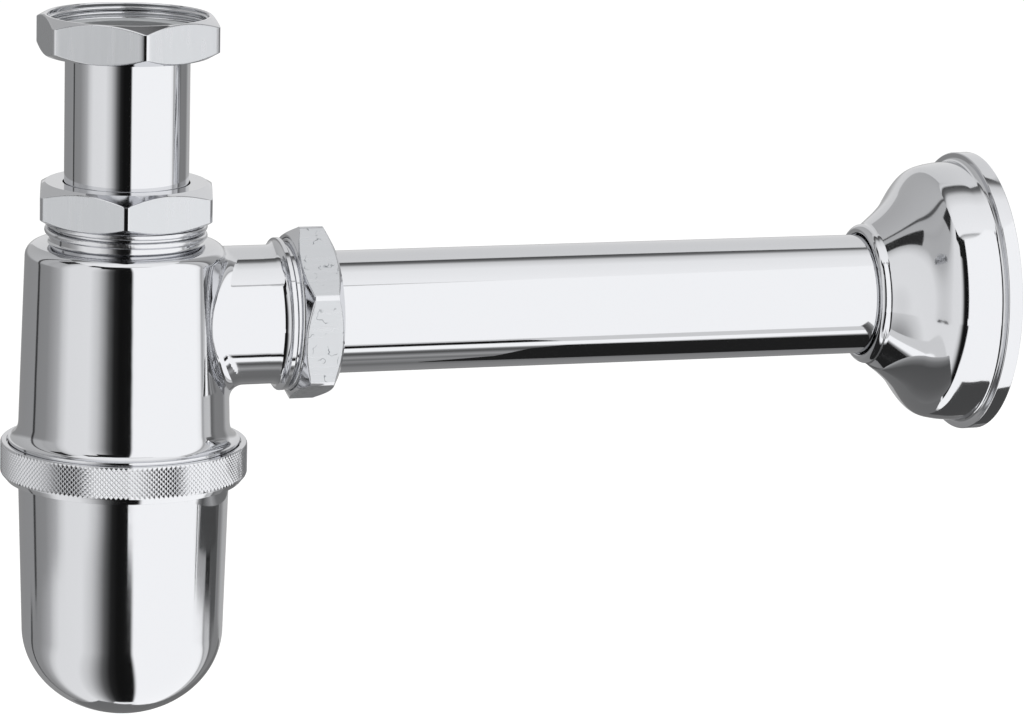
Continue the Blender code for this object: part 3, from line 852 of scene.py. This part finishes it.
place_piece(
    lathe(
        "outlet_tube",
        [
            (TUBE_BORE, PIPE_START, 0.25),
            (TUBE, PIPE_START, 0.25),
            (TUBE, PIPE_END, 0.25),
            (TUBE_BORE, PIPE_END, 0.25),
        ],
        tube_chrome,
        OUTWARDS,
        (0, 0, OUTLET),
    ),
    "outlet_pipe",
)
lip, waist = ((18.8, 2.6), 0.8), ((26.3, 11.3), 1.12)  # (radius, depth) and slope of the bell
shoulder, crest, edge = ((33.62, 17.65), 0.46), ((34.1, 19.0), 0.25), ((34.95, 24.8), 0.03)
flank = ease(*lip, *waist, 24)
flank += ease(*waist, *shoulder, 24)[1:]
flank += ease(*shoulder, *crest, 12)[1:]
flank += ease(*crest, *edge, 16)[1:]
INWARDS, BACKWARDS = 1.1 / math.hypot(1, 0.8), 0.75  # from the bell's outside to its inside
inner_flank = [(r - INWARDS, z + BACKWARDS) for r, z in flank if 6.0 < z < 20.5]
place_piece(
    lathe(
        "wall_flange_bell",
        [
            (FLANGE_HOLE, 0.3, 0.2),
            *arc((17.0, 1.8), (1.8, 1.8), -90, 0, 12)[:-1],
            (18.8, 1.9),
            *flank,
            (35.0, 27.2),
            *arc((36.3, 27.2), (1.3, 1.3), 180, 90, 8)[1:],
            *arc((37.1, 28.9), (0.4, 0.4), -90, 0, 5),
            (FLANGE_RIM, FLANGE_DEPTH, 0.2),
            (35.7, FLANGE_DEPTH, 0.2),
            (35.7, 29.6, 0.1),
            (33.9, 29.6, 0.3),
            *reversed(inner_flank),
            (17.6, 4.4, 0.1),
            (FLANGE_HOLE, 4.4, 0.1),
            (FLANGE_HOLE, 3.4, 0.1),
            (FLANGE_GROOVE, 3.4, 0.05),
            (FLANGE_GROOVE, 1.5, 0.05),
            (FLANGE_HOLE, 1.5, 0.1),
        ],
        sheet_chrome,
        OUTWARDS,
        (FLANGE_FRONT, 0, OUTLET),
    ),
    "wall_flange",
)
place_piece(
    lathe(
        "flange_friction_ring",
        arc((16.98, 2.45), (0.7, 0.7), 0, 360, 16)[:-1],
        rubber,
        OUTWARDS,
        (FLANGE_FRONT, 0, OUTLET),
        segments=HIDDEN_SEGMENTS,
    ),
    "flange_ring",
)

# Knurl and threads

knurl, knurl_sockets = knurl_tree()
KNURL_AROUND, KNURL_ROW = 160, 0.64
place_piece(
    grow(
        "ring_knurl",
        knurl,
        knurl_sockets,
        {
            "Around": KNURL_AROUND,
            "Rows": 12,
            "Radius": (RING_KNURL_ROOT - 0.02) * MM,
            "Low": (RING_FLOOR + 0.06) * MM,
            "Row height": KNURL_ROW * MM,
            "Half width": math.pi * RING / KNURL_AROUND * MM,
            "Point height": (RING - RING_KNURL_ROOT) * MM,
            "Finish": knurl_chrome,
        },
    ),
    "bottle_cup",
)

thread, thread_sockets = thread_tree()
union_thread = (5.2, UNION_THREAD_PITCH, 20.22, 0.42, 0.44)
neck_thread = (3.6, PIPE_THREAD_PITCH, 20.3, 0.64, 0.85)
collar_thread = (2.3, PIPE_THREAD_PITCH, 19.27, 0.62, 0.85)
for name, node, (turns, pitch, middle, half_depth, half_width), axis, place in (
    ("union_thread", "inlet_union_nut", union_thread, UP, (0, 0, -7.5)),
    ("neck_thread", "trap_body", neck_thread, UP, (0, 0, -57.0)),
    ("collar_thread", "trap_body", collar_thread, OUTWARDS, (42.6, 0, OUTLET)),
):
    piece = grow(
        name,
        thread,
        thread_sockets,
        {
            "Steps": 120,
            "Turns": turns,
            "Radius": middle * MM,
            "Rise": turns * pitch * MM,
            "Half depth": half_depth * MM,
            "Half width": half_width * MM,
            "Finish": thread_chrome,
        },
        axis,
        place,
    )
    place_piece(piece, node)

# Studio: the floor, and cards that only the chrome sees

WALL_RADIUS, WALL_TOP, FLOOR, FLOOR_RADIUS = 1.5, 2.2, -0.60, 14.0
BOARD_RADIUS, BOARD_TOP = 1.48, -0.435
TABLE_APEX = (0.088, 0.287)  # where the table's greys meet
ROUND_STEPS = 96
GLOW = 1.3


def stage_piece(name, points, faces, material):
    mesh = bpy.data.meshes.new(name)
    mesh.from_pydata(points, [], faces)
    mesh.materials.append(material)
    piece = bpy.data.objects.new(name, mesh)
    bpy.context.scene.collection.objects.link(piece)
    return piece


def only_seen_in_metal(piece):
    piece.visible_camera = piece.visible_diffuse = piece.visible_shadow = False
    piece.visible_transmission = piece.visible_volume_scatter = False


def sheet(name, points, material):
    """One flat face that only the chrome sees."""
    only_seen_in_metal(stage_piece(name, points, [range(len(points))], material))


def circle(radius, height):
    turns = [2 * math.pi * n / ROUND_STEPS for n in range(ROUND_STEPS)]
    return [(radius * math.cos(a), radius * math.sin(a), height) for a in turns]


def disc(name, height, radius, material):
    points = [(0, 0, height)] + circle(radius, height)
    faces = [(0, n + 1, (n + 1) % ROUND_STEPS + 1) for n in range(ROUND_STEPS)]
    return stage_piece(name, points, faces, material)


def glowing(name):
    """A glowing material, its tree, the glow, and the place on the piece by axis."""
    material = bpy.data.materials.new(name)
    material.use_nodes = True
    tree = material.node_tree
    tree.nodes.clear()
    glow = add(tree, "ShaderNodeEmission", {"Strength": GLOW})
    add(tree, "ShaderNodeOutputMaterial", {"Surface": glow})
    place = add(tree, "ShaderNodeTexCoord").outputs["Object"]
    return material, tree, glow, add(tree, "ShaderNodeSeparateXYZ", {0: place}).outputs


def plain(name, colour):
    """A glowing material of one colour."""
    material, _, glow, _ = glowing(name)
    glow.inputs["Color"].default_value = linear(colour)
    return material


def graded(name, axis, stops):
    """A glowing material that changes along an axis; a stop is (metres, colour)."""
    material, tree, glow, spot = glowing(name)
    first, last = stops[0][0], stops[-1][0]
    span = {"Value": spot[axis], "From Min": first, "From Max": last}
    ramp = add(tree, "ShaderNodeValToRGB", {"Fac": add(tree, "ShaderNodeMapRange", span)})
    set_stops(ramp, [((place - first) / (last - first), colour) for place, colour in stops])
    tree.links.new(ramp.outputs["Color"], glow.inputs["Color"])
    return material


def graded_round(name, centre=(0, 0)):
    """A glowing material by the bearing round a centre: 0 is the viewer's side, 90 the wall."""
    material, tree, glow, spot = glowing(name)
    across = add(tree, "ShaderNodeMath", {0: spot["X"], 1: centre[0]}, operation="SUBTRACT")
    nearer = add(tree, "ShaderNodeMath", {0: centre[1], 1: spot["Y"]}, operation="SUBTRACT")
    turn = add(tree, "ShaderNodeMath", {0: across, 1: nearer}, operation="ARCTAN2")
    span = {"Value": turn, "From Min": -math.pi, "From Max": math.pi}
    ramp = add(tree, "ShaderNodeValToRGB", {"Fac": add(tree, "ShaderNodeMapRange", span)})
    set_stops(ramp, [((bearing + 180) / 360, colour) for bearing, colour in BEARINGS])
    tree.links.new(ramp.outputs["Color"], glow.inputs["Color"])
    return material, tree, glow, spot


BEARINGS = (
    (-172, "848484"),
    (-132, "8E8E8E"),
    (-129, "8E8E8E"),
    (-128, "3A3A3A"),
    (-125, "3A3A3A"),
    (-124, "868686"),
    (-107, "8B8B8B"),
    (-97, "A0A0A0"),
    (-91, "AEAEAE"),
    (-85, "CECECE"),
    (-77, "E2E2E2"),
    (-52, "E4E4E4"),
    (-42, "C8C8C8"),
    (-36, "A0A0A0"),
    (-30, "5C5C5C"),
    (-24, "242424"),
    (-18, "131313"),
    (-5, "131313"),
    (-3.4, "FDFDFD"),
    (73, "FDFDFD"),
    (79, "F0F0F0"),
    (82, "969696"),
    (85, "C0C0C0"),
    (94, "C6C6C6"),
    (97, "606060"),
    (105, "808080"),
    (124, "7C7C7C"),
    (134, "A8A8A8"),
    (163, "A0A0A0"),
)


def around_wall():
    """The wall: white panel at the right front, black cloth round the viewer, grey elsewhere."""
    material, tree, glow, spot = graded_round("studio_wall")
    rise = add(
        tree,
        "ShaderNodeMapRange",
        {
            "Value": spot["Z"],
            "From Min": -0.15,
            "From Max": 0.1,
            "To Min": GLOW,
            "To Max": 1.75 * GLOW,
        },
        interpolation_type="SMOOTHSTEP",
    )
    span = {"Value": spot["Y"], "From Min": 0.0, "From Max": 0.6}
    behind = add(tree, "ShaderNodeMapRange", span)
    lift = add(tree, "ShaderNodeMix", {"Factor": behind, 2: GLOW, 3: rise})
    tree.links.new(lift.outputs[0], glow.inputs["Strength"])
    points = circle(WALL_RADIUS, FLOOR) + circle(WALL_RADIUS, WALL_TOP)
    ends = [(n, (n + 1) % ROUND_STEPS) for n in range(ROUND_STEPS)]
    faces = [(n, n + ROUND_STEPS, m + ROUND_STEPS, m) for n, m in ends]
    only_seen_in_metal(stage_piece("studio_wall", points, faces, material))


around_wall()


def card(name, corners, height, colour):
    """A plain level card."""
    sheet(name, [(x, y, height) for x, y in corners], plain(name, colour))


table = graded_round("studio_table", TABLE_APEX)[0]
only_seen_in_metal(disc("studio_table", FLOOR + 0.004, WALL_RADIUS, table))

front, side = [(-0.06, 0.16), (0.03, 0.14), (0.22, 0.3)], [(1.0, 1.0), (0.3, 1.1), (-0.05, 0.5)]
card("back_of_table", front + side, FLOOR + 0.006, "6A6A6A")
line = [(0.0, 0.12), (0.08, 0.12), (0.1, 0.17), (0.0, 0.15)]
card("white_line", line, FLOOR + 0.008, "F4F4F4")


def striped_cloth(name, start, end, height, stops):
    """A level cloth under the branch or the pipe, its greys changing from front to back."""
    front, back = stops[0][0], stops[-1][0]
    corners = ((start, front), (end, front), (end, back), (start, back))
    sheet(name, [(x, y, height) for x, y in corners], graded(name, "Y", stops))


# Under the pipe: the panel's black frame, a white strip, then grey cloth and a black piece over it
striped_cloth(
    "cloth_under_branch",
    0.036,
    0.0575,
    -0.13,
    (
        (-0.047, "DADADA"),
        (-0.0445, "C8C8C8"),
        (-0.0432, "101010"),
        (-0.0385, "101010"),
        (-0.0372, "FFFFFF"),
        (-0.0305, "FFFFFF"),
        (-0.0275, "7C7C7C"),
        (-0.024, "525252"),
        (-0.0155, "9C9C9C"),
        (-0.0095, "6E6E6E"),
        (0.0042, "6A6A6A"),
        (0.045, "848484"),
    ),
)
UNDER_PIPE = -0.1033
striped_cloth(
    "cloth_under_pipe",
    0.058,
    0.206,
    UNDER_PIPE,
    (
        (-0.0282, "DADADA"),
        (-0.0269, "C8C8C8"),
        (-0.0260, "101010"),
        (-0.0237, "101010"),
        (-0.0229, "FFFFFF"),
        (-0.0198, "FFFFFF"),
        (-0.0184, "7C7C7C"),
        (-0.0170, "525252"),
        (-0.0162, "5A5A5A"),
        (-0.0136, "9C9C9C"),
        (-0.0112, "6E6E6E"),
        (-0.0098, "8A8A8A"),
        (-0.0063, "6A6A6A"),
        (-0.0028, "808080"),
        (0.010, "848484"),
    ),
)
front_edge = [(0.079, -0.0068), (0.1, -0.0104), (0.11, -0.0164), (0.12, -0.0188), (0.206, -0.0176)]
back_edge = [(0.206, -0.004), (0.187, -0.0045), (0.102, -0.0058), (0.08, -0.0064)]
card("black_cloth", front_edge + back_edge, UNDER_PIPE + 0.0002, "202020")
frame_end = [(0.105, -0.0282), (0.206, -0.0282), (0.206, -0.023), (0.12, -0.0232)]
card("end_of_frame", frame_end, UNDER_PIPE + 0.0002, "D2D2D2")
by_wall = [(0.228, -0.055), (0.33, -0.055), (0.33, 0.08), (0.228, 0.08)]
card("dark_cloth_by_wall", by_wall, -0.2, "464646")


def board(name, start, end, low, top, colour):
    """A plain board against the wall between two bearings in degrees."""
    feet = [(math.sin(math.radians(a)), -math.cos(math.radians(a))) for a in (start, end)]
    corners = [(*foot, low) for foot in feet] + [(*foot, top) for foot in feet[::-1]]
    points = [(BOARD_RADIUS * x, BOARD_RADIUS * y, z) for x, y, z in corners]
    sheet(name, points, plain(name, colour))


board("panel_foot", -7.0, 20.0, FLOOR, BOARD_TOP, "FDFDFD")
board("black_post", 76.2, 77.6, FLOOR, BOARD_TOP, "0A0A0A")
board("dull_board", 79.0, 94.0, FLOOR, BOARD_TOP, "9A9A9A")
board("black_board", 94.0, 102.5, FLOOR, BOARD_TOP, "1C1C1C")
board("dark_board", 102.5, 118.0, FLOOR, BOARD_TOP, "525252")
board("high_left_board", -112.0, -92.0, 1.1, WALL_TOP - 0.01, "2C2C2C")
board("high_front_board", -66.0, -45.0, 1.45, WALL_TOP - 0.01, "1C1C1C")
board("high_black_board", -45.0, -14.0, 1.05, WALL_TOP - 0.01, "1C1C1C")

# A grey cloth hung between the pipe and the bell, for the bell's lower half
stops = (
    (-0.13, "707070"),
    (-0.11375, "5A5A5A"),
    (-0.102375, "525252"),
    (-0.099775, "747474"),
    (-0.0975, "A8A8A8"),
)
low, high = stops[0][0], stops[-1][0]
hanging = [(0.2067, y, z) for y, z in ((-0.03, low), (0.012, low), (0.012, high), (-0.03, high))]
sheet("cloth_beside_bell", hanging, graded("cloth_beside_bell", "Z", stops))

ceiling = graded(
    "studio_ceiling",
    "Y",
    (
        (-1.5, "F6F6F6"),
        (-1.26, "A0A0A0"),
        (-1.2, "F6F6F6"),
        (0.0, "EEEEEE"),
        (0.54, "D0D0D0"),
        (0.78, "707070"),
        (1.08, "404040"),
        (1.2, "D8D8D8"),
        (1.5, "C0C0C0"),
    ),
)
only_seen_in_metal(disc("studio_ceiling", WALL_TOP, WALL_RADIUS, ceiling))


def looked_at(tree):
    """1 for rays from the camera, off a mirror or through glass, and 0 for all the others."""
    path = add(tree, "ShaderNodeLightPath").outputs
    eye, mirror, glass = (path[f"Is {kind} Ray"] for kind in ("Camera", "Glossy", "Transmission"))
    seen = add(tree, "ShaderNodeMath", {0: eye, 1: mirror}, operation="MAXIMUM")
    return add(tree, "ShaderNodeMath", {0: seen, 1: glass}, operation="MAXIMUM")


# Pale floor: it keeps the shadow, and a little glow of its own brings it up to the white behind it
FLOOR_GLOW, WORLD_LIGHT, WORLD_WHITE = 0.42, 0.75, 1.0
paint = finish("pale_painted_floor", "E6E6E6", 0.0, (0.8, 0.9), (40.0, PLAIN, 2.0))
tree, shader = inside(paint)
shader.inputs["Emission Color"].default_value = linear("FFFFFF")
own = add(tree, "ShaderNodeMath", {0: looked_at(tree), 1: FLOOR_GLOW}, operation="MULTIPLY")
tree.links.new(own.outputs[0], shader.inputs["Emission Strength"])
disc("floor", FLOOR, FLOOR_RADIUS, paint)

world = bpy.data.worlds.new("studio_world")
bpy.context.scene.world = world
world.use_nodes = True
tree = world.node_tree
tree.nodes.clear()
light, white = (
    add(tree, "ShaderNodeBackground", {"Color": linear("FFFFFF"), "Strength": strength})
    for strength in (WORLD_LIGHT, WORLD_WHITE)
)
mixed = add(tree, "ShaderNodeMixShader", {0: looked_at(tree), 1: light, 2: white})
add(tree, "ShaderNodeOutputWorld", {"Surface": mixed})

# One wide lamp over the bottle gives the soft shadow, and the chrome doesn't mirror it
lamp = bpy.data.lights.new("overhead_softbox", "AREA")
lamp.shape, lamp.size, lamp.energy = "DISK", 1.2, 12.0
lamp_piece = bpy.data.objects.new("overhead_softbox", lamp)
lamp_piece.location = (0.1, -0.2, 1.4)
lamp_piece.visible_glossy = False
bpy.context.scene.collection.objects.link(lamp_piece)

# Camera at the photograph's angle

AZIMUTH, ELEVATION, ROLL = (math.radians(a) for a in (-17.07, 12.29, 1.58))
AIM, DISTANCE = Vector((0.10457, 0.0, -0.0932)), 1.27037
back = Vector(
    (
        math.sin(AZIMUTH) * math.cos(ELEVATION),
        -math.cos(AZIMUTH) * math.cos(ELEVATION),
        math.sin(ELEVATION),
    )
)
right = Vector((math.cos(AZIMUTH), math.sin(AZIMUTH), 0))
above = back.cross(right)
turned_right = right * math.cos(ROLL) + above * math.sin(ROLL)
turned_above = above * math.cos(ROLL) - right * math.sin(ROLL)
lens = bpy.data.cameras.new("camera")
lens.lens, lens.sensor_width = 168.75, 36.0
lens.clip_start, lens.clip_end = 0.05, 60.0
camera = bpy.data.objects.new("camera", lens)
bpy.context.scene.collection.objects.link(camera)
placed = Matrix((turned_right, turned_above, back)).transposed().to_4x4()
placed.translation = AIM + back * DISTANCE
camera.matrix_world = placed
bpy.context.scene.camera = camera

bpy.context.scene.view_settings.view_transform = "Standard"

bpy.context.view_layer.update()
